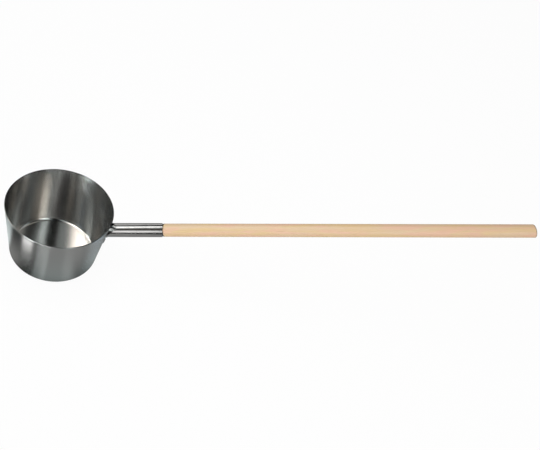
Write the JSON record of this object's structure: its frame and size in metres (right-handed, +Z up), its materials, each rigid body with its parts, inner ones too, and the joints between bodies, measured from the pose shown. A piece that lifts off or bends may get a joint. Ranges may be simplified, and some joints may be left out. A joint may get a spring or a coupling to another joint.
{
  "type": "water dipper",
  "caption": "Long-handled water dipper: a drawn steel cup, a rolled steel socket welded on its wall and a round wooden stick.",
  "frame": {"origin": "centre of the underside of the cup's flat base", "axes": "+Z up along the cup's axis, +X towards the handle, which rises as it leaves the cup"},
  "size_m": [0.6121, 0.1198, 0.1623],
  "materials": {
    "steel": "drawn stainless sheet with a fine satin polish",
    "nail_steel": "plain stainless nail",
    "wood": "bare, fine-sanded pale wood"
  },
  "bodies": {
    "root": {"cup": "steel", "handle_socket": "steel", "wooden_handle": "wood", "handle_nail": "nail_steel"}
  },
  "joints": []
}
